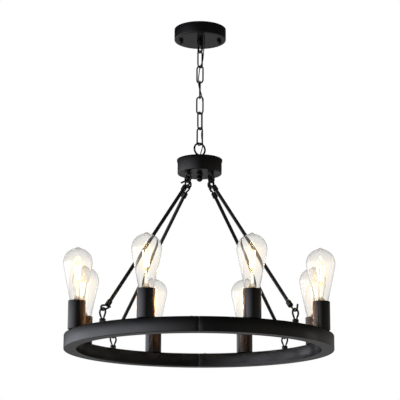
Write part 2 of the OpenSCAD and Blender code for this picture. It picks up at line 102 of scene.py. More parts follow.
def math_node(operation: str, swapped: bool = False) -> Callable[..., "Signal"]:
    """Makes a method of a signal that adds a Math node.

    Args:
        operation: the node's operation.
        swapped: whether the signal is the second value.

    Returns:
        The method, which takes one more value or none.
    """
    def method(signal: "Signal", *others: object) -> "Signal":
        """Adds the node and returns its result."""
        values = (*others, signal) if swapped else (signal, *others)
        return signal.board.add("Math", dict(enumerate(values)), {"operation": operation})

    return method


class Signal:
    """A shader socket that takes part in Python expressions."""

    __add__ = __radd__ = math_node("ADD")
    __sub__ = math_node("SUBTRACT")
    __rsub__ = math_node("SUBTRACT", swapped=True)
    __mul__ = math_node("MULTIPLY")
    __pow__ = math_node("POWER")
    __abs__ = math_node("ABSOLUTE")
    either = math_node("MAXIMUM")

    def __init__(self, board: "NodeBoard", socket: bpy.types.NodeSocket | None) -> None:
        """Wraps a socket of a board's node."""
        self.board = board
        self.socket = socket

    def spread(self, low: float, high: float, to_low: float = 0.0, to_high: float = 1.0) -> "Signal":
        """Maps the range from low to high to another range, without going past its ends."""
        return self.board.add("MapRange", {0: self, 1: low, 2: high, 3: to_low, 4: to_high}, {"clamp": True})

    def roughen(self, roughness: float, uneven: Pair) -> "Signal":
        """Maps the middle of a noise to a roughness, less and more by the two parts of uneven."""
        return self.spread(0.3, 0.7, roughness - uneven[0], roughness + uneven[1])

    def blend(self, low: object, high: object) -> "Signal":
        """Mixes two colours: low where this value is 0, and high where it is 1."""
        return self.board.add("Mix", {0: self, 6: low, 7: high}, {"data_type": "RGBA"}, output=2)


class NodeBoard:
    """A node tree that is filled from code."""

    def __init__(self, tree: bpy.types.NodeTree) -> None:
        """Empties a tree and takes it over."""
        self.tree = tree
        tree.nodes.clear()

    def add(self, kind: str, values: dict[int | str, object] | None = None,
            settings: dict[str, object] | None = None, output: int | str = 0) -> Signal:
        """Adds a node.

        Args:
            kind: the node's type, without ShaderNode at its front.
            values: a value or a signal for each socket, by its name or number.
            settings: its own settings.
            output: name or number of the socket that is returned.

        Returns:
            The chosen output of the new node.
        """
        node = self.tree.nodes.new(f"ShaderNode{kind}")
        for name, value in (settings or {}).items():
            setattr(node, name, value)
        for name, value in (values or {}).items():
            if isinstance(value, Signal):
                self.tree.links.new(value.socket, node.inputs[name])
            else:
                node.inputs[name].default_value = value
        return Signal(self, node.outputs[output] if len(node.outputs) else None)

    def place(self) -> Signal:
        """Position on the object."""
        return self.add("TexCoord", output="Object")

    def split(self, vector: Signal) -> list[Signal]:
        """The three parts of a vector."""
        parts = self.add("SeparateXYZ", {0: vector}).socket.node.outputs
        return [Signal(self, part) for part in parts]

    def ray(self, kind: str) -> Signal:
        """1 for rays of a kind, such as Camera or Glossy, and 0 for others."""
        return self.add("LightPath", output=f"Is {kind} Ray")

    def noise(self, scale: float, detail: float = 3.0, stretch: Point = (1, 1, 1)) -> Signal:
        """Adds a noise over the object, with scale as its number of grains in a metre."""
        spot = self.add("Mapping", {"Vector": self.place(), "Scale": stretch})
        return self.add("TexNoise", {"Vector": spot, "Scale": scale, "Detail": detail})

    def bump(self, height: Signal, distance: float, strength: float) -> Signal:
        """Turns a height from 0 to 1, which is worth a distance, into a normal."""
        return self.add("Bump", {"Height": height, "Distance": distance, "Strength": strength})


class MaterialBoard(NodeBoard):
    """The node tree of a new material."""

    def __init__(self, name: str) -> None:
        """Makes the material.

        Args:
            name: its name.
        """
        self.material = bpy.data.materials.new(name)
        self.material.use_nodes = True
        super().__init__(self.material.node_tree)

    def close(self, surface: Signal) -> bpy.types.Material:
        """Ends the material with its surface and returns it."""
        self.add("OutputMaterial", {"Surface": surface})
        return self.material


def lighter(colour: Colour, factor: float) -> Colour:
    """A colour times a factor, up to white."""
    return tuple(min(1.0, part * factor) for part in colour[:3]) + (1.0,)


@dataclass(frozen=True)
class Paint:
    """Semi-gloss paint on metal, with a fine orange peel and a trace of dust."""

    name: str
    colour: Colour
    dusty: Colour
    roughness: float
    uneven: Pair = (0.04, 0.05)
    patch_scale: float = 16.0
    patch_range: Pair = (0.35, 0.75)
    peel_scale: float = 700.0
    peel_height: float = 0.06 * MM
    peel_strength: float = 0.35
    specular: float = 0.5

    def material(self) -> bpy.types.Material:
        """Builds the paint's nodes.

        Returns:
            The material.
        """
        board = MaterialBoard(self.name)
        patches = board.noise(self.patch_scale, 4.0)
        grains = board.noise(self.peel_scale, 2.0)
        colour = patches.spread(*self.patch_range).blend(self.colour, self.dusty)
        roughness = patches.roughen(self.roughness, self.uneven)
        normal = board.bump(grains, self.peel_height, self.peel_strength)
        return board.close(board.add("BsdfPrincipled", {
            "Base Color": colour, "Roughness": roughness, "Normal": normal,
            "Specular IOR Level": self.specular}))


@dataclass(frozen=True)
class BareMetal:
    """Plated or bare metal with fine draw lines."""

    name: str
    colour: Colour
    worn: Colour
    roughness: float
    uneven: Pair = (0.08, 0.1)
    line_scale: float = 260.0
    line_height: float = 0.04 * MM
    line_strength: float = 0.3
    patch_scale: float = 60.0
    patch_range: Pair = (0.35, 0.7)
    lines: Point = (1.0, 1.0, 9.0)

    def material(self) -> bpy.types.Material:
        """Builds the metal's nodes.

        Returns:
            The material.
        """
        board = MaterialBoard(self.name)
        drawn = board.noise(self.line_scale, 3.0, self.lines)
        colour = board.noise(self.patch_scale).spread(*self.patch_range).blend(self.colour, self.worn)
        roughness = drawn.roughen(self.roughness, self.uneven)
        return board.close(board.add("BsdfPrincipled", {
            "Base Color": colour, "Metallic": 1.0, "Roughness": roughness,
            "Normal": board.bump(drawn, self.line_height, self.line_strength)}))


@dataclass(frozen=True)
class Plastic:
    """Moulded or extruded plastic."""

    name: str
    colour: Colour
    roughness: float
    uneven: Pair = (0.05, 0.06)
    grain_range: Pair = (0.4, 0.7)
    grain_scale: float = 900.0
    grain_height: float = 0.03 * MM
    grain_strength: float = 0.4
    grain_light: float = 1.6

    def material(self) -> bpy.types.Material:
        """Builds the plastic's nodes.

        Returns:
            The material.
        """
        board = MaterialBoard(self.name)
        grains = board.noise(self.grain_scale, 2.0)
        return board.close(board.add("BsdfPrincipled", {
            "Base Color": grains.spread(*self.grain_range).blend(
                self.colour, lighter(self.colour, self.grain_light)),
            "Roughness": grains.roughen(self.roughness, self.uneven),
            "Normal": board.bump(grains, self.grain_height, self.grain_strength)}))


@dataclass(frozen=True)
class Glass:
    """Clear glass, with painted shade that darkens it at its edges as seen and greys the top of its dome, and
    with the light of a lamp spread in it as a painted glow that warms its colour.
    """

    name: str
    colour: Colour
    # Painted shade: the darker colour where the glass is seen edge-on
    edge: Colour
    glow: Colour = (0, 0, 0, 1)
    glow_strength: float = 0.0
    glow_middle: float = -597 * MM
    glow_reach: float = 40 * MM
    glow_core: float = 0.3
    glow_fade: float = 8.0
    edge_shade_fade: float = 3.0
    # Painted light: the warmer colour that the glass takes near the filaments' glow
    painted_glow_tint: Colour = (0.98, 0.96, 0.9, 1)
    # Painted shade: the grey colour that the top of the dome turns to, and the heights over which it fades in
    crown: Colour = (1, 1, 1, 1)
    crown_shade_low: float = -572 * MM
    crown_shade_high: float = -548 * MM
    tip_low: float = -547 * MM
    tip_high: float = -545 * MM
    tip_clear: float = 0.6
    wave_scale: float = 38.0
    wave_height: float = 0.1 * MM
    wave_strength: float = 0.2
    ior: float = 1.45

    def material(self) -> bpy.types.Material:
        """Builds the glass's nodes.

        Returns:
            The material.
        """
        board = MaterialBoard(self.name)
        waves = board.noise(self.wave_scale, 1.0)
        facing = board.add("LayerWeight", {"Blend": 0.5}, output="Facing")
        level = board.split(board.place())[2]
        # Painted shade: the glass turns grey towards the top of its dome, but not at the tip
        crown_shaded = level.spread(self.crown_shade_low, self.crown_shade_high)
        below_tip = level.spread(self.tip_low, self.tip_high, 1.0, 0.0)
        body_colour = (crown_shaded * below_tip).blend(self.colour, self.crown)
        beside = abs(level - self.glow_middle)
        # Where the painted glow and its warm tint fall: near the filaments' height, and less where the glass
        # is seen edge-on
        near = beside.spread(self.glow_core * self.glow_reach, self.glow_reach, 1.0, 0.0)
        share = near * (1 - facing) ** self.glow_fade
        # Painted shade darkens the colour where the glass is seen edge-on, and painted glow warms it near the
        # filaments
        tint = (facing ** self.edge_shade_fade).blend(share.blend(body_colour, self.painted_glow_tint), self.edge)
        body = board.add("BsdfPrincipled", {
            "Base Color": tint, "Roughness": 0.0, "IOR": self.ior, "Transmission Weight": 1.0,
            "Normal": board.bump(waves, self.wave_height, self.wave_strength),
            "Emission Color": share.blend((0, 0, 0, 1), self.glow), "Emission Strength": self.glow_strength})
        clear = board.add("BsdfTransparent", {"Color": self.colour})
        through = board.ray("Shadow") + (1 - below_tip) * self.tip_clear
        return board.close(board.add("MixShader", {0: through, 1: body, 2: clear}))


@dataclass(frozen=True)
class Glow:
    """The glowing coat of a filament."""

    name: str
    colour: Colour
    strength: float
    grain_scale: float = 500.0
    grain_light: float = 1.15
    roughness: float = 0.6

    def material(self) -> bpy.types.Material:
        """Builds the coat's nodes.

        Returns:
            The material.
        """
        board = MaterialBoard(self.name)
        grains = board.noise(self.grain_scale, 1.0)
        return board.close(board.add("BsdfPrincipled", {
            "Base Color": self.colour, "Roughness": self.roughness,
            "Emission Color": grains.blend(self.colour, lighter(self.colour, self.grain_light)),
            "Emission Strength": self.strength}))


class Finish(Enum):
    """The finishes of the lamp."""

    BLACK = Paint("black_paint", (0.0022, 0.0022, 0.0024, 1), (0.0036, 0.0035, 0.0034, 1), 0.22,
                  specular=0.28)
    ZINC = BareMetal("zinc_plate", (0.55, 0.55, 0.53, 1), (0.46, 0.45, 0.42, 1), 0.34)
    CORD = Plastic("cord_jacket", (0.011, 0.011, 0.012, 1), 0.42)
    HOLDER = Plastic("lamp_holder_plastic", (0.02, 0.02, 0.021, 1), 0.5)
    # The bulb glass's crown colour is painted shade on its dome, its edge colour is painted shade where it is
    # seen edge-on, and its warm colour and glow are painted light from the filaments
    GLASS = Glass("bulb_glass", (0.955, 0.938, 0.915, 1), (0.87, 0.87, 0.86, 1), (1.0, 0.72, 0.36, 1), 0.08,
                  crown=(0.885, 0.88, 0.87, 1), painted_glow_tint=(1.0, 0.96, 0.86, 1))
    # The stem's edge colour is painted shade where it is seen edge-on, as on the bulb glass
    STEM = Glass("stem_glass", (0.98, 0.95, 0.86, 1), (0.94, 0.9, 0.78, 1), (1.0, 0.85, 0.6, 1), 0.45,
                 glow_middle=-650 * MM, glow_reach=34 * MM, crown=(0.98, 0.95, 0.86, 1))
    CAP = BareMetal("lamp_cap", (0.72, 0.69, 0.62, 1), (0.6, 0.57, 0.5, 1), 0.28)
    WIRE = BareMetal("support_wire", (0.66, 0.55, 0.38, 1), (0.5, 0.4, 0.26, 1), 0.3)
    FILAMENT = Glow("filament_coat", (1.0, 0.72, 0.38, 1), 13.0)


class PaintShop:
    """Holds each finish's material once."""

    def __init__(self) -> None:
        """Starts with no material made."""
        self.made: dict[Finish, bpy.types.Material] = {}

    def coat(self, piece: Piece, finish: Finish) -> None:
        """Gives a piece one finish all over.

        Args:
            piece: the piece.
            finish: the finish.
        """
        if finish not in self.made:
            self.made[finish] = finish.value.material()
        piece.data.materials.clear()
        piece.data.materials.append(self.made[finish])
        for polygon in piece.data.polygons:
            polygon.material_index = 0


shop = PaintShop()


def arc(centre: Ring, radius: float, start: float, end: float, steps: int,
        rise: float | None = None) -> list[Ring]:
    """Points on an arc of an outline, or of an ellipse where rise gives its other half axis.

    Args:
        centre: distance from the axis and height of its centre.
        radius: its radius.
        start: first angle in degrees, where 0 points away from the axis and 90 up.
        end: last angle in degrees.
        steps: number of steps.
        rise: upright half axis, where it isn't the radius. Below 0 it turns the arc over.

    Returns:
        The points, as distance from the axis and height.
    """
    high = radius if rise is None else rise
    angles = [math.radians(start + (end - start) * i / steps) for i in range(steps + 1)]
    return [(centre[0] + radius * math.cos(a), centre[1] + high * math.sin(a)) for a in angles]


def heading(degrees: float) -> Vector:
    """The level direction at an angle from +X."""
    return Vector((math.cos(math.radians(degrees)), math.sin(math.radians(degrees)), 0))


def select_alone(piece: Piece) -> None:
    """Selects a piece and nothing else, and makes it the active one.

    Args:
        piece: the piece.
    """
    bpy.ops.object.select_all(action="DESELECT")
    piece.select_set(True)
    bpy.context.view_layer.objects.active = piece


def new_object(name: str, data: bpy.types.ID) -> Piece:
    """Makes an object and adds it to the scene.

    Args:
        name: its name.
        data: its mesh, curve, lamp or camera.

    Returns:
        The object.
    """
    item = bpy.data.objects.new(name, data)
    bpy.context.scene.collection.objects.link(item)
    return item


def begin_edit(piece: Piece) -> None:
    """Opens a piece alone in edit mode, with all of it selected.

    Args:
        piece: the piece.
    """
    select_alone(piece)
    bpy.ops.object.mode_set(mode="EDIT")
    bpy.ops.mesh.select_all(action="SELECT")


def end_edit() -> None:
    """Closes edit mode."""
    bpy.ops.object.mode_set(mode="OBJECT")


def merge_points(distance: float) -> None:
    """Merges the points that are close together, in the whole mesh that is open in edit mode."""
    bpy.ops.mesh.select_all(action="SELECT")
    bpy.ops.mesh.remove_doubles(threshold=distance)


def select_vertices(piece: Piece, numbers: list[int]) -> None:
    """Selects some vertices of the piece that is open in edit mode, and nothing else.

    Args:
        piece: the piece.
        numbers: the vertices' numbers.
    """
    bpy.ops.mesh.select_all(action="DESELECT")
    bpy.ops.mesh.select_mode(type="VERT")
    bpy.ops.object.mode_set(mode="OBJECT")
    for number in numbers:
        piece.data.vertices[number].select = True
    bpy.ops.object.mode_set(mode="EDIT")


def rename(piece: Piece, name: str) -> None:
    """Gives a piece and its mesh one name."""
    piece.name = name
    piece.data.name = name


def settle(piece: Piece, name: str, smooth_angle: float = 35.0) -> Piece:
    """Names a new piece, puts its place into its mesh and smooths it.

    Args:
        piece: the piece.
        name: its name.
        smooth_angle: edges sharper than this stay sharp, in degrees.

    Returns:
        The piece.
    """
    select_alone(piece)
    bpy.ops.object.transform_apply(location=True, rotation=True, scale=True)
    bpy.ops.object.shade_smooth_by_angle(angle=math.radians(smooth_angle))
    rename(piece, name)
    return piece


def turned(name: str, rings: list[Ring], sides: int, at: Point | Vector = (0, 0, 0)) -> Piece:
    """Turns an outline about an upright axis, as on a lathe.

    Args:
        name: the piece's name.
        rings: the outline. A first or last ring with radius 0 closes to a point.
        sides: number of sides of a ring.
        at: foot of the axis.

    Returns:
        The piece.
    """
    radius, height = max(rings[0][0], PIN), rings[0][1]
    bpy.ops.mesh.primitive_circle_add(vertices=sides, radius=radius, fill_type="NOTHING",
                                      location=(at[0], at[1], at[2] + height))
    piece = bpy.context.active_object
    begin_edit(piece)
    for next_radius, next_height in rings[1:]:
        next_radius = max(next_radius, PIN)
        move = {"value": (0, 0, next_height - height)}
        bpy.ops.mesh.extrude_region_move(TRANSFORM_OT_translate=move)
        share, centre = next_radius / radius, (at[0], at[1], at[2] + next_height)
        bpy.ops.transform.resize(value=(share, share, 1), center_override=centre)
        radius, height = next_radius, next_height
    if rings[-1][0] == 0:
        bpy.ops.mesh.merge(type="CENTER")
    if rings[0][0] == 0:
        select_vertices(piece, list(range(sides)))
        bpy.ops.mesh.merge(type="CENTER")
    bpy.ops.mesh.select_all(action="SELECT")
    bpy.ops.mesh.normals_make_consistent(inside=False)
    end_edit()
    return settle(piece, name)


def bent(name: str, points: list[Vector], diameter: float, closed: bool = False,
         sides: int = 4) -> Piece:
    """Bends a round wire along points.

    Args:
        name: the piece's name.
        points: its middle line.
        diameter: its diameter.
        closed: whether its ends meet.
        sides: quarter of the number of its sides, less one.

    Returns:
        The piece, as a mesh.
    """
    line = bpy.data.curves.new(name, "CURVE")
    line.dimensions = "3D"
    line.bevel_depth = diameter / 2
    line.bevel_resolution = sides
    line.use_fill_caps = not closed
    run = line.splines.new("POLY")
    run.points.add(len(points) - 1)
    for spot, point in zip(run.points, points):
        spot.co = (*point, 1)
    run.use_cyclic_u = closed
    piece = new_object(name, line)
    select_alone(piece)
    bpy.ops.object.convert(target="MESH")
    piece = bpy.context.active_object
    begin_edit(piece)
    merge_points(0.005 * MM)
    bpy.ops.mesh.normals_make_consistent(inside=False)
    end_edit()
    return settle(piece, name, 50.0)


def arc_points(centre: Vector, across: Vector, up: Vector, radius: float, start: float, end: float,
               steps: int) -> list[Vector]:
    """Points on an arc in space, from angle 0 across to angle 90 up."""
    return [centre + x * across + z * up for x, z in arc((0, 0), radius, start, end, steps)]


def smooth_run(points: list[Vector], steps: int) -> list[Vector]:
    """A smooth line through points.

    Args:
        points: the points that it passes.
        steps: steps from one point to the next.

    Returns:
        The points of the line.
    """
    line = []
    last = len(points) - 1
    for i in range(last):
        a, b, c, d = points[max(i - 1, 0)], points[i], points[i + 1], points[min(i + 2, last)]
        for k in range(steps):
            t = k / steps
            line.append(0.5 * (2 * b + (c - a) * t + (2 * a - 5 * b + 4 * c - d) * t ** 2
                               + (3 * b - 3 * c + d - a) * t ** 3))
    return line + [points[last]]


def joined(name: str, parts: list[Piece]) -> Piece:
    """Joins parts into one piece.

    Args:
        name: the piece's name.
        parts: the parts, the first of which stays.

    Returns:
        The piece.
    """
    bpy.ops.object.select_all(action="DESELECT")
    for part in parts:
        part.select_set(True)
    bpy.context.view_layer.objects.active = parts[0]
    bpy.ops.object.join()
    rename(parts[0], name)
    return parts[0]


def copied(piece: Piece, name: str, move: Matrix) -> Piece:
    """Copies a piece with its own mesh.

    Args:
        piece: the piece to copy.
        name: the copy's name.
        move: where the copy goes, from the place of the piece.

    Returns:
        The copy.
    """
    copy = piece.copy()
    copy.data = piece.data.copy()
    copy.data.transform(move)
    rename(copy, name)
    bpy.context.scene.collection.objects.link(copy)
    return copy


def turn_z(degrees: float) -> Matrix:
    """A turn about the upright axis."""
    return Matrix.Rotation(math.radians(degrees), 4, "Z")


def hand_over(piece: Piece, body: str, node: str,
              finish: Finish = Finish.BLACK) -> None:
    """Puts a finished piece in a body's and a node's place.

    Args:
        piece: the piece.
        body: the body that it moves with.
        node: the node that it stands for.
        finish: its finish.
    """
    shop.coat(piece, finish)
    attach(piece, body)
    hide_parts(node)
    log.info("piece %s on %s", piece.name, body)


@dataclass
class PhotoCamera:
    """The camera, as fitted to the photograph."""

    distance: float = 3.32893
    height: float = -1.2034
    pitch: float = 0.235
    roll: float = 0.004
    lens: float = 135.49
    sensor: float = 36.0
    far: float = 50.0
    shift: Pair = (0.00125, -0.0025)

    def build(self) -> None:
        """Makes the camera and gives it to the scene."""
        data = bpy.data.cameras.new("photo_camera")
        data.lens = self.lens
        data.sensor_width = self.sensor
        data.shift_x, data.shift_y = self.shift
        data.clip_end = self.far
        camera = new_object("photo_camera", data)
        aim = Matrix.Rotation(math.pi / 2 + self.pitch, 4, "X") @ Matrix.Rotation(self.roll, 4, "Z")
        camera.matrix_world = Matrix.Translation((0, -self.distance, self.height)) @ aim
        bpy.context.scene.camera = camera
        log.info("camera ready")


@dataclass(frozen=True)
class SoftLamp:
    """A rectangular lamp with soft shadows."""

    name: str
    place: Point
    size: Pair
    power: float
    colour: Point

    def build(self, target: Vector) -> None:
        """Adds the lamp.

        Args:
            target: the point that it is turned to.
        """
        data = bpy.data.lights.new(self.name, "AREA")
        data.shape = "RECTANGLE"
        data.size, data.size_y = self.size
        data.energy = self.power
        data.color = self.colour
        place = Vector(self.place)
        aim = (target - place).to_track_quat("-Z", "Y").to_matrix().to_4x4()
        new_object(self.name, data).matrix_world = Matrix.Translation(place) @ aim


@dataclass
class Studio:
    """A pale floor, a white surround and soft lamps."""

    lamps: tuple[SoftLamp, ...] = (
        SoftLamp("left_box", (-2.3, -1.5, -0.95), (0.9, 1.2), 0.8, (0.97, 0.985, 1.0)),
        SoftLamp("right_box", (2.6, 0.6, -0.95), (0.7, 1.2), 1.0, (1.0, 0.97, 0.93)),
        SoftLamp("top_box", (-0.4, -1.4, 2.4), (2.0, 2.0), 6.0, (1.0, 1.0, 1.0)))
    target: Point = (0, 0, -0.5)
    floor_z: float = -3.2
    floor_size: float = 22.0
    floor_low: Colour = (0.86, 0.86, 0.86, 1)
    floor_high: Colour = (0.88, 0.88, 0.875, 1)
    floor_mirrored: Colour = (0.45, 0.45, 0.45, 1)
    surround: float = 0.75
    tone_left: Colour = (0.97, 0.985, 1.07, 1)
    tone_right: Colour = (1.06, 1.0, 0.92, 1)
    above: float = 0.027
    ahead: float = 0.125
    left: float = 4.2
    right: float = 0.22
    low_fade: float = 1.3
    left_fade: float = 1.8
    right_start: float = 0.2
    tone_reach: float = 0.4
    floor_scale: float = 3.0
    floor_roughness: float = 0.9
    box_top: Pair = (0.12, 0.25)
    box_side: Pair = (-0.98, -0.199)
    bulb_power: float = 2.8
    bulb_colour: Point = (1.0, 0.42, 0.1)
    bulb_glare: float = 15 * MM
    bulb_depth: float = 52 * MM
    lit_pieces: tuple[str, ...] = ("cup", "cap", "wires")

    def build(self) -> None:
        """Makes the surround, the floor and the lamps."""
        self._build_world()
        self._build_floor()
        for lamp in self.lamps:
            lamp.build(Vector(self.target))
        for i in range(LAMP_COUNT):
            self._light_bulb(i)
        log.info("studio ready")

    def _light_bulb(self, i: int) -> None:
        """Adds the light of a bulb, which falls on its own lamp and on all but the two beside it.

        Args:
            i: the bulb's number, from 0.
        """
        lit = bpy.data.collections.new(f"lit_by_bulb_{i + 1}")
        for k in range(LAMP_COUNT):
            if (k - i) % LAMP_COUNT not in (1, LAMP_COUNT - 1):
                for kind in self.lit_pieces:
                    lit.objects.link(bpy.data.objects[f"lamp_{k + 1}_{kind}"])
        low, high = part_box(f"bulb_base_{i + 1}")
        data = bpy.data.lights.new(f"bulb_light_{i + 1}", "POINT")
        data.energy = self.bulb_power
        data.color = self.bulb_colour
        data.shadow_soft_size = self.bulb_glare
        lamp = new_object(data.name, data)
        lamp.location = ((low.x + high.x) / 2, (low.y + high.y) / 2, high.z - self.bulb_depth)
        lamp.visible_camera = False
        lamp.visible_transmission = False
        lamp.light_linking.receiver_collection = lit

    def _build_world(self) -> None:
        """Makes the surround: white where it is seen, and dark in gloss, with a low bright left side."""
        world = bpy.data.worlds.new("studio")
        world.use_nodes = True
        bpy.context.scene.world = world
        board = NodeBoard(world.node_tree)
        side, depth, height = board.split(board.add("TexCoord", output="Generated"))
        low = height.spread(self.box_top[0], self.box_top[1], 1.0, 0.0) ** self.low_fade
        left = (side * self.box_side[0] + depth * self.box_side[1]).spread(0.0, 1.0) ** self.left_fade
        right = side.spread(self.right_start, 1.0)
        front = self.above + low * (self.ahead + left * self.left + right * self.right)
        seen = board.ray("Camera").either(board.ray("Transmission"))
        mirrored = board.ray("Glossy")
        strength = (1 - seen) * (mirrored * front + (1 - mirrored) * self.surround) + seen
        tone = side.spread(-self.tone_reach, self.tone_reach).blend(self.tone_left, self.tone_right)
        surface = board.add("Background", {"Color": seen.blend(tone, (1, 1, 1, 1)), "Strength": strength})
        board.add("OutputWorld", {"Surface": surface})

    def _build_floor(self) -> None:
        """Makes the floor, pale to the camera and darker in the paint's gloss."""
        bpy.ops.mesh.primitive_plane_add(size=self.floor_size, location=(0, 0, self.floor_z))
        floor = bpy.context.active_object
        floor.name = "floor"
        board = MaterialBoard("pale_floor")
        pale = board.noise(self.floor_scale).blend(self.floor_low, self.floor_high)
        colour = board.ray("Glossy").blend(pale, self.floor_mirrored)
        surface = board.add("BsdfPrincipled", {"Base Color": colour, "Roughness": self.floor_roughness})
        floor.data.materials.append(board.close(surface))


@dataclass
class Canopy:
    """The ceiling canopy with its knobs, collar and bail."""

    diameter: float = 120 * MM
    depth: float = 27 * MM
    wall: float = 1.2 * MM
    corner: float = 2 * MM
    rim: float = 1.2 * MM
    rim_edge: float = 0.25 * MM
    stud_spacing: float = 89 * MM
    knob_diameter: float = 10.6 * MM
    knob_height: float = 8.8 * MM
    knob_neck: float = 0.8 * MM
    knob_shoulder: float = 1.2 * MM
    knob_neck_share: float = 0.86
    knob_barrel_share: float = 0.62
    collar_diameter: float = 15 * MM
    collar_height: float = 14 * MM
    collar_edge: float = 0.8 * MM
    bail_wire: float = 4.4 * MM
    bail_length: float = 17.2 * MM
    bail_turn: float = -37.0
    bail_sunk: float = 2 * MM
    bail_steps: int = 24

    def build(self) -> None:
        """Models the pieces and hands them over."""
        self._build_shell()
        self._build_knobs()
        self._build_collar()
        self._build_bail()

    def _build_shell(self) -> None:
        """Models the pressed pan with a round edge and a thin wall."""
        radius, low = self.diameter / 2, -self.depth
        outer = [(0, low), (radius / 2, low)]
        outer += arc((radius - self.corner, low + self.corner), self.corner, -90, 0, 6)
        outer += [(radius, -self.rim), (radius, -self.rim_edge), (radius - self.rim_edge, 0)]
        inner = [(radius - self.wall, 0)]
        inner += arc((radius - self.corner, low + self.corner), self.corner - self.wall, 0, -90, 3)
        inner += [(radius / 2, low + self.wall), (0, low + self.wall)]
        hand_over(turned("canopy_shell", outer + inner, LARGE), "mount", "canopy")

    def _build_knobs(self) -> None:
        """Models a turned knob with a groove and a round end on each stud."""
        radius, height, top = self.knob_diameter / 2, self.knob_height, -self.depth
        neck, barrel = radius * self.knob_neck_share, height * self.knob_barrel_share
        rings = [(0, top), (neck, top), (neck, top - self.knob_neck), (radius, top - self.knob_shoulder)]
        rings += [(radius, top - barrel)] + arc((0, top - barrel), radius, 12, 72, 5, barrel - height)
        place = (-self.stud_spacing / 2, 0, 0)
        knob = turned("canopy_knob_left", rings + [(0, top - height)], SMALL, place)
        other = copied(knob, "canopy_knob_right", Matrix.Translation((self.stud_spacing, 0, 0)))
        for piece in (knob, other):
            hand_over(piece, "mount", "canopy_knobs")

    def _build_collar(self) -> None:
        """Models the turned collar that the bail is held in."""
        radius, top, edge = self.collar_diameter / 2, -self.depth, self.collar_edge
        low = top - self.collar_height
        rings = [(0, top), (radius - edge, top), (radius, top - edge), (radius, low + edge)]
        rings += arc((radius - edge, low + edge), edge, 0, -90, 4) + [(0, low)]
        hand_over(turned("canopy_collar", rings, MIDDLE), "mount", "canopy_loop")

    def _build_bail(self) -> None:
        """Models the bail of bent wire under the collar."""
        leg = (self.collar_diameter - self.bail_wire) / 2
        foot = -self.depth - self.collar_height
        bend = foot - self.bail_length + self.collar_diameter / 2
        top = (foot + self.bail_sunk) * UP
        across = heading(self.bail_turn)
        points = [leg * across + top] + arc_points(bend * UP, across, UP, leg, 0, -180, self.bail_steps)
        bail = bent("canopy_bail", points + [-leg * across + top], self.bail_wire)
        hand_over(bail, "mount", "canopy_loop")


@dataclass
class Chain:
    """The links between the bail and the hub's loop."""

    wire: float = 3.6 * MM
    width: float = 18.2 * MM
    length: float = 44.8 * MM
    turns: tuple[float, ...] = (48, -18, 88, -12, 52, -36)
    bend_steps: int = 20
    weld_half: float = 1.4 * MM
    weld_swell: tuple[Ring, ...] = ((-0.02, -1.1), (0.16, -0.45), (0.16, 0.45), (-0.02, 1.1))
    weld_sides: int = 16

    def build(self) -> None:
        """Models the links and hands them over."""
        for i, turn in enumerate(self.turns):
            low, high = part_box(f"chain_link_{i + 1}")
            link = self._link(f"link_{i + 1}_loop", turn, (low.z + high.z) / 2)
            hand_over(link, f"link_{i + 1}", f"chain_link_{i + 1}")

    def _link(self, name: str, turn: float, middle: float) -> Piece:
        """A welded oval link with the slight swelling of its weld.

        Args:
            name: its name.
            turn: its turn about the vertical in degrees.
            middle: the height of its centre.

        Returns:
            The link.
        """
        across = heading(turn)
        bend = (self.width - self.wire) / 2
        half = (self.length - self.width) / 2
        points = arc_points((middle + half) * UP, across, UP, bend, 0, 180, self.bend_steps)
        points += arc_points((middle - half) * UP, across, UP, bend, 180, 360, self.bend_steps)
        loop = bent(name, points, self.wire, closed=True)
        rings = [(self.wire / 2 + swell * MM, z * MM) for swell, z in self.weld_swell]
        rings = [(0, -self.weld_half)] + rings + [(0, self.weld_half)]
        weld = turned("weld", rings, self.weld_sides, middle * UP + bend * across)
        return joined(name, [loop, weld])


@dataclass
class PowerCord:
    """The cord that runs down the chain, in a stretch for each joint that it passes."""

    diameter: float = 2.4 * MM
    points: tuple[Point, ...] = (
        (24, 0, -13), (20, 0, -13), (16, 0, -13), (11.9, 0, -16.6), (10.5, 0, -23), (10.4, 0, -31),
        (9.3, 1.2, -42), (8.1, 1.5, -53), (7.5, 0.5, -63), (6.2, -3.8, -77), (3, -6.2, -87),
        (-0.4, -5.8, -94), (-1.4, -3, -101), (-2.4, 1, -109), (-3.4, 4.6, -118), (-3.6, 5, -128),
        (-2.2, 3.2, -138), (0.6, 0, -149), (3.2, -3, -158), (4.8, -5, -167), (6.6, -5.8, -179),
        (7, -6, -192), (5.8, -5.4, -205), (5.6, -3.2, -217), (5.6, -0.8, -229), (5.6, 1.1, -240),
        (4, 3.4, -252), (4.8, 2.6, -264), (6.7, 0, -274), (6.4, -1, -283), (3.8, -0.6, -294), (1, 0, -303),
        (0, 0, -311), (0, 0, -319), (0.6, 0, -327), (3.2, 0, -334), (8, 0, -337), (13, 0, -337),
        (18, 0, -337))
    steps: int = 8
    reach: float = 9 * MM

    def build(self, joints: list[dict]) -> None:
        """Models the stretches, gives them their finish and hides the frame's cord.

        Args:
            joints: the record's joints, of which the chain's swings come first.
        """
        line = smooth_run([Vector(p) * MM for p in self.points], self.steps)
        chain = [j for j in joints if j["name"].endswith("_swing") and not j["name"].startswith("rod")]
        middles = [sum(corner.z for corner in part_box(f"chain_link_{i + 1}")) / 2 for i in range(LINK_COUNT)]
        cuts = [math.inf, *middles, -math.inf]
        for k, joint in enumerate(chain):
            inside = [i for i, p in enumerate(line) if cuts[k + 1] <= p.z <= cuts[k]]
            stretch = line[inside[0]:min(inside[-1] + 2, len(line))]
            piece = bent(f"cord_stretch_{k + 1}", stretch, self.diameter)
            shop.coat(piece, Finish.CORD)
            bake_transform(piece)
            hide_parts("power_cord")
            log.info("piece %s across %s", piece.name, joint["name"])


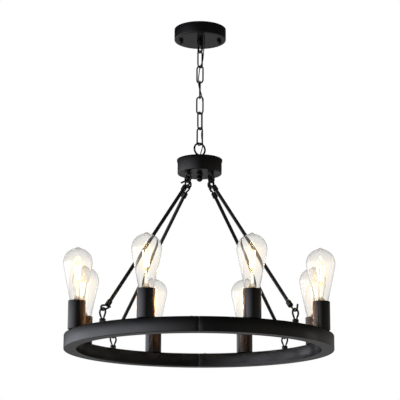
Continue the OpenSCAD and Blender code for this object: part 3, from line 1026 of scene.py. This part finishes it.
@dataclass(frozen=True)
class Eye:
    """A teardrop eye of wire on a boss."""

    height: float
    wire: float = 4.2 * MM
    width: float = 22 * MM
    tip: float = 3 * MM
    bend_steps: int = 28
    boss_diameter: float = 13.5 * MM
    boss_height: float = 9 * MM
    boss_round: float = 1.4 * MM
    boss_straight: float = 0.55

    def build(self, name: str, seat: Vector, angle: float, upward: float) -> Piece:
        """Models an eye on its seat.

        Args:
            name: its name.
            seat: the middle of its seat.
            angle: direction of its place from the centre, in degrees.
            upward: 1 where it stands up and -1 where it hangs.

        Returns:
            The eye.
        """
        across, up = heading(angle + 90), upward * UP
        bend = (self.width - self.wire) / 2
        middle = self.height - self.wire / 2 - bend
        lean = math.degrees(math.asin(bend / (middle - self.tip)))
        points = [seat + self.tip * up]
        points += arc_points(seat + middle * up, across, up, bend, -lean, 180 + lean, self.bend_steps)
        loop = bent(name, points, self.wire, closed=True)
        radius, height, edge = self.boss_diameter / 2, self.boss_height, self.boss_round
        rings = [(0, 0), (radius, 0), (radius, height * self.boss_straight)]
        rings += arc((radius - edge, height - edge), edge, 0, 80, 4) + [(0, height)]
        boss = turned("boss", [(r, upward * z) for r, z in rings], SMALL, seat)
        return joined(name, [loop, boss])


@dataclass
class Hub:
    """The hub with its lid, finial, loop and eyes."""

    diameter: float = 101 * MM
    height: float = 33.8 * MM
    wall: float = 1.2 * MM
    corner: float = 2 * MM
    lid_height: float = 4.2 * MM
    lid_play: float = 0.3 * MM
    lid_gap: float = 0.5 * MM
    lid_edge: float = 0.9 * MM
    rim_edge: float = 0.15 * MM
    loop_diameter: float = 32.7 * MM
    loop_wire: float = 4.3 * MM
    loop_turn: float = 32.0
    loop_steps: int = 48
    collar_diameter: float = 14 * MM
    collar_height: float = 11 * MM
    collar_round: float = 2.2 * MM
    collar_rise: float = 2.6 * MM
    collar_straight: float = 0.55
    ball_diameter: float = 14 * MM
    finial_height: float = 17.6 * MM
    finial_flange: tuple[Ring, ...] = ((1, 0), (1, 1.4), (0.5, 2.8), (0, 3.9))
    finial_neck: Pair = (0.886, 4.4 * MM)
    ball_arc: Pair = (27.6, -86.0)
    ball_steps: int = 20
    eye_radius: float = 37 * MM
    eye: Eye = Eye(27.5 * MM)

    @property
    def top(self) -> float:
        """Height of the lid's top."""
        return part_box("hub_lid")[1].z

    @property
    def low(self) -> float:
        """Height of the can's underside."""
        return self.top - self.height

    def build(self) -> None:
        """Models the pieces and hands them over."""
        self._build_can()
        self._build_lid()
        self._build_finial()
        self._build_collar()
        self._build_loop()
        for i, angle in enumerate(RodSet.angles):
            seat = self.eye_radius * heading(angle) + self.low * UP
            hand_over(self.eye.build(f"hub_eye_{i + 1}", seat, angle, -1), "hub", "hub_eyes")

    def _build_can(self) -> None:
        """Models the pressed can under the lid."""
        radius, low, high = self.diameter / 2, self.low, self.top - self.wall - self.lid_gap
        rings = [(0, low), (radius / 2, low)]
        rings += arc((radius - self.corner, low + self.corner), self.corner, -90, 0, 6)
        rings += [(radius, high), (0, high)]
        hand_over(turned("hub_can_shell", rings, LARGE), "hub", "hub_can")

    def _build_lid(self) -> None:
        """Models the lid whose rim laps over the can."""
        top, edge = self.top, self.lid_edge
        radius = self.diameter / 2 + self.lid_play + self.wall
        inner, low = radius - self.wall, top - self.lid_height
        rings = [(0, top), (radius - edge, top)] + arc((radius - edge, top - edge), edge, 90, 0, 5)
        rings += [(radius, low + self.rim_edge), (radius - self.rim_edge, low), (inner, low)]
        rings += [(inner, top - self.wall), (0, top - self.wall)]
        hand_over(turned("hub_lid_cap", rings, LARGE), "hub", "hub_lid")

    def _build_finial(self) -> None:
        """Models the ball finial under the can."""
        low, ball = self.low, self.ball_diameter / 2
        centre = low - self.finial_height + ball
        rings = [(0, low)] + [(ball + extra * MM, low - depth * MM) for extra, depth in self.finial_flange]
        rings += [(ball * self.finial_neck[0], low - self.finial_neck[1])]
        rings += arc((0, centre), ball, *self.ball_arc, self.ball_steps) + [(0, centre - ball)]
        hand_over(turned("hub_finial_ball", rings, MIDDLE), "hub", "hub_finial")

    def _build_collar(self) -> None:
        """Models the collar under the loop."""
        radius, edge, top = self.collar_diameter / 2, self.collar_round, self.top
        high = top + self.collar_height
        rings = [(0, top), (radius, top), (radius, top + self.collar_height * self.collar_straight)]
        rings += arc((radius - edge, high - self.collar_rise), edge, 0, 80, 6) + [(0, high)]
        hand_over(turned("hub_collar", rings, MIDDLE), "hub", "hub_loop")

    def _build_loop(self) -> None:
        """Models the round loop that hangs in the chain."""
        bend = (self.loop_diameter - self.loop_wire) / 2
        centre = (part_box("hub_loop")[1].z - self.loop_diameter / 2) * UP
        points = arc_points(centre, heading(self.loop_turn), UP, bend, 0, 360, self.loop_steps)[:-1]
        hand_over(bent("hub_loop_ring", points, self.loop_wire, closed=True), "hub", "hub_loop")


@dataclass
class RodSet:
    """The four rods with their caps and hooks."""

    angles: tuple[float, ...] = (225.0, 315.0, 45.0, 135.0)
    top_tails: tuple[int, ...] = (1, -1, 1, 1)
    low_tails: tuple[int, ...] = (-1, 1, -1, -1)
    low_lengths: tuple[float, ...] = (21 * MM, 10.5 * MM, 21 * MM, 21 * MM)
    low_opens: tuple[float, ...] = (26.0, 48.0, 26.0, 26.0)
    shift: float = 5.5 * MM
    wire: float = 4.2 * MM
    rod_diameter: float = 8 * MM
    cap_diameter: float = 12 * MM
    cap_length: float = 13 * MM
    cap_edge: float = 1.3 * MM
    cap_lip: float = 0.5 * MM
    hook_radius: float = 5.2 * MM
    hook_tail: float = 21 * MM
    hook_reach: float = 13 * MM
    hook_steps: int = 24
    top_open: float = 26.0
    play: float = 0.3 * MM
    shank_sunk: float = 1 * MM
    tail_play: float = 0.4 * MM
    cap_dish: Pair = (0.2 * MM, 0.3 * MM)

    def build(self) -> None:
        """Models the rods and hands them over."""
        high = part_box("hub_can")[0].z - Hub.eye.height + self.wire / 2
        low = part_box("ring_left")[1].z + RingTube.eye.height - self.wire / 2
        run, rise = RING_RADIUS - Hub.eye_radius, high - low
        length = math.sqrt(run ** 2 + rise ** 2 - self.shift ** 2)
        tilt = math.atan2(run, rise) - math.atan2(self.shift, length)
        for i, angle in enumerate(self.angles):
            unit = f"rod_unit_{i + 1}"
            place = turn_z(angle) @ Matrix.Translation((Hub.eye_radius, 0, high))
            frame = place @ Matrix.Rotation(math.pi - tilt, 4, "Y")
            far = frame @ Matrix.Translation((0, 0, length)) @ Matrix.Rotation(math.pi, 4, "Y")
            rod = self._rod(f"rod_{i + 1}_tube", length)
            rod.data.transform(frame)
            hand_over(rod, unit, f"rod_{i + 1}")
            top = self._hook(f"rod_{i + 1}_top_hook", self.top_tails[i], 0.0, self.hook_tail, self.top_open)
            foot = self._hook(f"rod_{i + 1}_low_hook", -self.low_tails[i], self.shift, self.low_lengths[i],
                              self.low_opens[i])
            for hook, spot in ((top, frame), (foot, far)):
                hook.data.transform(spot)
                hand_over(hook, unit, f"rod_hooks_{i + 1}")

    def _rod(self, name: str, length: float) -> Piece:
        """Models a rod from cap to cap.

        Args:
            name: its name.
            length: distance between the eyes' wires along the rod.

        Returns:
            The rod, along Z.
        """
        radius, start = self.rod_diameter / 2, self.hook_reach + self.cap_length / 2
        rings = [(0, start), (radius, start), (radius, length / 2), (radius, length - start)]
        return turned(name, rings + [(0, length - start)], SMALL)

    def _hook(self, name: str, side: int, shift: float, tail: float, open_turn: float) -> Piece:
        """Models a cap with its open hook, whose wire goes round an eye.

        Args:
            name: its name.
            side: 1 or -1, the side of the shank.
            shift: distance from the rod's axis to the eye's wire, along X.
            tail: length of the free end.
            open_turn: how far the free end turns away from the rod, in degrees.

        Returns:
            The hook, with Z along the rod.
        """
        centre = Vector((shift, 0, self.hook_radius - self.wire - self.play))
        shank = (self.hook_reach + self.shank_sunk) * UP
        run = shank - centre
        lean = math.atan2(run.z, side * run.x) - math.acos(self.hook_radius / run.length)
        open_angle = math.radians(open_turn)
        across = Vector((side, 0, 0))
        points = [shank + self.shank_sunk * UP, shank]
        points += arc_points(centre, across, UP, self.hook_radius, math.degrees(lean), -180 + open_turn,
                             self.hook_steps)
        away = -math.sin(open_angle) * across + math.cos(open_angle) * UP
        points += [points[-1] + (tail - self.tail_play) * away]
        wire = bent(name, points, self.wire)
        radius, edge, lip = self.cap_diameter / 2, self.cap_edge, self.cap_lip
        low, high = self.hook_reach, self.hook_reach + self.cap_length
        rings = [(0, low), (radius - edge, low)] + arc((radius - edge, low + edge), edge, -90, 0, 4)
        rings += [(radius, high - lip), (radius - lip, high)]
        rings += [(self.rod_diameter / 2 - self.cap_dish[0], high), (0, high - self.cap_dish[1])]
        cap = turned("cap", rings, SMALL)
        return joined(name, [wire, cap])


@dataclass
class RingTube:
    """The ring of square tube, in two halves, with its screws and eyes."""

    width: float = 28 * MM
    height: float = 31.5 * MM
    corner: float = 1.3 * MM
    seam: float = 0.3 * MM
    screw_inset: float = 15 * MM
    screw_head: float = 7.4 * MM
    screw_height: float = 2.6 * MM
    screw_rim: float = 0.5 * MM
    screw_sunk: float = 0.4 * MM
    slot: Point = (1.1, 0.9 * MM, 2.2 * MM)
    edge: float = 0.35 * MM
    edge_angle: float = 60.0
    steps: int = 96
    eye: Eye = Eye(33.5 * MM)

    @property
    def low(self) -> float:
        """Height of the ring's underside."""
        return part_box("ring_left")[0].z

    def build(self) -> None:
        """Models the pieces and hands them over."""
        for name, start in (("left", math.pi / 2), ("right", -math.pi / 2)):
            hand_over(self._half(f"ring_half_{name}", start), "ring", f"ring_{name}")
        self._add_screws()
        for i, angle in enumerate(RodSet.angles):
            seat = RING_RADIUS * heading(angle) + (self.low + self.height) * UP
            hand_over(self.eye.build(f"ring_eye_{i + 1}", seat, angle, 1), "ring", "ring_eyes")

    def _half(self, name: str, start: float) -> Piece:
        """Spins the tube's outline round half of the ring.

        Args:
            name: the piece's name.
            start: angle of its first seam in radians.

        Returns:
            The half ring.
        """
        cut = self.seam / 2 / RING_RADIUS
        bpy.ops.mesh.primitive_plane_add(size=1, location=(RING_RADIUS, 0, self.low + self.height / 2),
                                         rotation=(math.pi / 2, 0, 0))
        piece = bpy.context.active_object
        piece.scale = (self.width, self.height, 1)
        bpy.ops.object.transform_apply(location=True, rotation=True, scale=True)
        begin_edit(piece)
        bpy.ops.mesh.bevel(offset=self.corner, segments=4, affect="VERTICES")
        bpy.ops.mesh.select_all(action="SELECT")
        bpy.ops.mesh.spin(steps=self.steps, angle=math.pi - 2 * cut, center=(0, 0, 0), axis=(0, 0, -1))
        merge_points(0.001 * MM)
        bpy.ops.mesh.normals_make_consistent(inside=False)
        end_edit()
        piece.data.transform(Matrix.Rotation(start + cut, 4, "Z"))
        edges = piece.modifiers.new("edges", "BEVEL")
        edges.width = self.edge
        edges.segments = 2
        edges.limit_method = "ANGLE"
        edges.angle_limit = math.radians(self.edge_angle)
        bpy.ops.object.modifier_apply(modifier=edges.name)
        return settle(piece, name, 30.0)

    def _add_screws(self) -> None:
        """Adds the screws near the seams, on the top and on the inner wall."""
        low, wall = self.low, RING_RADIUS - self.width / 2
        for name, start in (("front", -math.pi / 2), ("back", math.pi / 2)):
            turn = Matrix.Rotation(start - self.screw_inset / RING_RADIUS, 4, "Z")
            on_top = turn @ Matrix.Translation((RING_RADIUS, 0, low + self.height))
            on_wall = turn @ Matrix.Translation((wall, 0, low + self.height / 2))
            on_wall = on_wall @ Matrix.Rotation(-math.pi / 2, 4, "Y")
            for where, place in (("top", on_top), ("inner", on_wall)):
                screw = self._screw(f"ring_screw_{name}_{where}")
                screw.data.transform(place)
                hand_over(screw, "ring", "ring_screws")

    def _screw(self, name: str) -> Piece:
        """Models a pan head screw with a cross recess.

        Args:
            name: its name.

        Returns:
            The screw, with the seat of its head at height 0.
        """
        radius, height, rim = self.screw_head / 2, self.screw_height, self.screw_rim
        rings = [(0, -self.screw_sunk), (radius, -self.screw_sunk), (radius, rim)]
        rings += arc((0, rim), radius, 12, 84, 6, height - rim) + [(0, height)]
        head = turned(name, rings, SMALL)
        for turn in (0, 90):
            bpy.ops.mesh.primitive_cube_add(size=1, location=(0, 0, height))
            slot = bpy.context.active_object
            slot.scale = (radius * self.slot[0], self.slot[1], self.slot[2])
            slot.rotation_euler = (0, 0, math.radians(turn))
            cut = head.modifiers.new("cut", "BOOLEAN")
            cut.operation = "DIFFERENCE"
            cut.object = slot
            bpy.context.view_layer.update()
            select_alone(head)
            bpy.ops.object.modifier_apply(modifier=cut.name)
            bpy.data.objects.remove(slot)
        return settle(head, name, 30.0)


@dataclass
class LampSet:
    """The eight cups with their bulbs."""

    first_angle: float = 22.5
    sides: int = 64
    cup_diameter: float = 38 * MM
    cup_height: float = 62 * MM
    cup_wall: float = 1.2 * MM
    cup_foot_edge: float = 0.6 * MM
    cup_rim_edge: float = 0.5 * MM
    cup_mouth: Pair = (0.2 * MM, 0.3 * MM)
    bulb_diameter: float = 64 * MM
    bulb_height: float = 119 * MM
    neck_radius: float = 16 * MM
    neck_height: float = 2 * MM
    crown_angle: float = 74.0
    dome_steps: int = 26
    glass_wall: float = 0.8 * MM
    tip_height: float = 3 * MM
    tip: tuple[Ring, ...] = ((6.9, -3.6), (5.4, -2.8), (4.4, -1.9), (3.5, -0.9), (2.2, -0.25), (0, 0))
    base_diameter: float = 26 * MM
    base_length: float = 23.5 * MM
    base_top: float = -1 * MM
    base_inset: float = 0.5 * MM
    contact: tuple[Ring, ...] = ((5.2, 1), (4, 0), (0, 0))
    contact_foot: Pair = (9 * MM, 1.2 * MM)
    thread_end: float = 4.5 * MM
    thread_depth: float = 0.45 * MM
    thread_turns: int = 6
    thread_steps: int = 8
    stem_low: tuple[Ring, ...] = (
        (0, 0), (10, 0), (8.6, 3), (5.6, 8), (4.2, 14), (3.8, 22), (2.6, 27), (1.7, 32))
    stem_high: tuple[Ring, ...] = ((1.6, -4), (2.3, -1), (1.9, 1.4), (0, 2.2))
    stem_sides: int = 24
    filament_count: int = 4
    filament_low: Ring = (4 * MM, 46 * MM)
    filament_high: Ring = (8 * MM, 80 * MM)
    filament_diameter: float = 1.9 * MM
    filament_turn: float = 20.0
    filament_steps: int = 6
    wire_diameter: float = 0.6 * MM
    wire_steps: int = 5
    wire_foot: Pair = (0.3, -8 * MM)
    wire_neck: Pair = (0.15, 0.5 * MM)
    wire_crest: Pair = (0.7, 2.4 * MM)
    wire_bend: float = 0.6
    wire_dip: float = 1 * MM

    @property
    def foot(self) -> Vector:
        """Centre of the first cup's underside."""
        return RING_RADIUS * heading(self.first_angle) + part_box("candle_cup_1")[0].z * UP

    @property
    def rim(self) -> Vector:
        """Centre of the first cup's rim."""
        return self.foot + self.cup_height * UP

    def build(self) -> None:
        """Models one lamp, copies it round the ring and hands all over."""
        base = ("bulb_{}", "bulb_base_{}", "lamp_base")
        first = (
            ("cup", self._cup(), "ring", "candle_cup_{}", "black", Finish.BLACK),
            ("glass", self._glass(), "bulb_{}", "bulb_glass_{}", "lamp_glass", Finish.GLASS),
            ("cap", self._cap(), *base, Finish.CAP),
            ("stem", self._stem(), *base, Finish.STEM),
            ("wires", self._wires(), *base, Finish.WIRE),
            ("filaments", self._filaments(), *base, Finish.FILAMENT))
        for i in range(LAMP_COUNT):
            for kind, model, body, node, slot, finish in first:
                name = f"lamp_{i + 1}_{kind}"
                if i == 0:
                    model.name = name
                piece = copied(model, name, turn_z(360 / LAMP_COUNT * i)) if i else model
                hand_over(piece, body.format(i + 1), node.format(i + 1), finish)

    def _cup(self) -> Piece:
        """Models a plain cup with a thin wall and soft edges.

        Returns:
            The cup.
        """
        radius, top, wall = self.cup_diameter / 2, self.cup_height, self.cup_wall
        low_edge, edge = self.cup_foot_edge, self.cup_rim_edge
        rings = [(0, 0), (radius - low_edge, 0)] + arc((radius - low_edge, low_edge), low_edge, -90, 0, 3)
        rings += [(radius, top - edge)] + arc((radius - edge, top - edge), edge, 0, 90, 3)
        inner, mouth = radius - wall, self.cup_mouth
        rings += [(inner + mouth[0], top), (inner, top - mouth[1]), (inner, wall), (0, wall)]
        return turned("cup", rings, self.sides, self.foot)

    def _outline(self, inset: float) -> list[Ring]:
        """The bulb's outline from its neck to the foot of its tip.

        Args:
            inset: how far the outline is drawn in.

        Returns:
            The rings.
        """
        dome_radius = self.bulb_diameter / 2
        centre = self.bulb_height - self.tip_height - dome_radius
        spare = dome_radius - self.neck_radius
        slope = math.degrees(math.asin(spare / math.hypot(centre, spare)))
        rings = [(self.base_diameter / 2 - inset, self.base_top)]
        rings += [(self.neck_radius - inset, self.neck_height)]
        return rings + arc((0, centre), dome_radius - inset, -slope, self.crown_angle, self.dome_steps)

    def _glass(self) -> Piece:
        """Models the blown glass, with the pip at its tip.

        Returns:
            The glass.
        """
        outer, inner = self._outline(0), self._outline(self.glass_wall)
        tip = [(radius * MM, self.bulb_height + z * MM) for radius, z in self.tip]
        crown = (0, self.bulb_height - self.tip_height - self.glass_wall)
        outside = turned("glass", inner[:1] + outer + tip, self.sides, self.rim)
        inside = turned("inside", inner + [crown], self.sides, self.rim)
        begin_edit(inside)
        bpy.ops.mesh.flip_normals()
        end_edit()
        piece = joined("glass", [outside, inside])
        begin_edit(piece)
        merge_points(0.01 * MM)
        end_edit()
        return settle(piece, "glass", 60.0)

    def _cap(self) -> Piece:
        """Models the screw cap with its rolled thread and its contact.

        Returns:
            The cap.
        """
        radius = self.base_diameter / 2 - self.base_inset
        high, low, end = self.base_top, self.thread_end - self.base_length, -self.base_length
        rings = [(0, high), (radius, high)]
        count = self.thread_turns * self.thread_steps
        for i in range(count + 1):
            wave = math.cos(2 * math.pi * self.thread_turns * i / count)
            rings.append((radius - self.thread_depth * wave, high + (low - high) * i / count))
        rings += [(self.contact_foot[0], low - self.contact_foot[1])]
        rings += [(wide * MM, end + z * MM) for wide, z in self.contact]
        return turned("cap", rings, MIDDLE, self.rim)

    def _stem(self) -> Piece:
        """Models the glass stem that carries the filaments.

        Returns:
            The stem.
        """
        rings = [(radius * MM, z * MM) for radius, z in self.stem_low]
        rings += [(radius * MM, self.filament_high[1] + z * MM) for radius, z in self.stem_high]
        return turned("stem", rings, self.stem_sides, self.rim)

    def _filament_ends(self, number: int) -> tuple[Vector, Vector]:
        """The lower and the upper end of a filament, from the rim's centre."""
        out = heading(self.first_angle + self.filament_turn + 360 * number / self.filament_count)
        return tuple(radius * out + z * UP for radius, z in (self.filament_low, self.filament_high))

    def _wires(self) -> Piece:
        """Models the thin wires that hold the filaments.

        Returns:
            The wires, as one piece.
        """
        parts = []
        for i in range(self.filament_count):
            low, high = self._filament_ends(i)
            places = ((low, self.wire_foot), (high, self.wire_neck), (high, self.wire_crest))
            foot, neck, crest = [Vector((end.x * share, end.y * share, end.z + rise))
                                 for end, (share, rise) in places]
            knee = foot.lerp(low, self.wire_bend) - self.wire_dip * UP
            for k, run in enumerate(([foot, knee, low], [neck, crest, high])):
                line = [self.rim + p for p in smooth_run(run, self.wire_steps)]
                parts.append(bent(f"wire_{i}_{k}", line, self.wire_diameter, sides=1))
        return joined("wires", parts)

    def _filaments(self) -> Piece:
        """Models the glowing sticks.

        Returns:
            The sticks, as one piece.
        """
        parts = []
        for i in range(self.filament_count):
            low, high = self._filament_ends(i)
            steps = self.filament_steps
            line = [self.rim + low.lerp(high, k / steps) for k in range(steps + 1)]
            parts.append(bent(f"stick_{i}", line, self.filament_diameter, sides=2))
        return joined("filaments", parts)


@dataclass
class HiddenParts:
    """The nodes that keep their own mesh, most of them inside the shells."""

    zinc: tuple[str, ...] = ("ceiling_bracket", "bracket_studs", "canopy_tube", "hub_tube", "ring_splices")
    cord: tuple[str, ...] = ("canopy_wiring", "hub_wiring", "ring_wiring")
    holder: tuple[str, ...] = ("lamp_holders",)

    def dress(self, nodes: dict[str, Piece]) -> None:
        """Gives each node its finish.

        Args:
            nodes: the frame's nodes by their names.
        """
        for names, finish in ((self.zinc, Finish.ZINC), (self.cord, Finish.CORD),
                              (self.holder, Finish.HOLDER)):
            for name in names:
                shop.coat(nodes[name], finish)
                log.info("node %s dressed", name)


def main() -> None:
    """Builds the scene."""
    logging.basicConfig(level=logging.INFO, format="%(message)s")
    for old in list(bpy.data.objects):
        bpy.data.objects.remove(old)
    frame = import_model()
    bpy.context.scene.view_settings.view_transform = "Standard"
    PhotoCamera().build()
    PowerCord().build(frame["joints"])
    Canopy().build()
    Chain().build()
    Hub().build()
    RodSet().build()
    RingTube().build()
    LampSet().build()
    HiddenParts().dress(frame["nodes"])
    Studio().build()


if __name__ == "__main__":
    main()
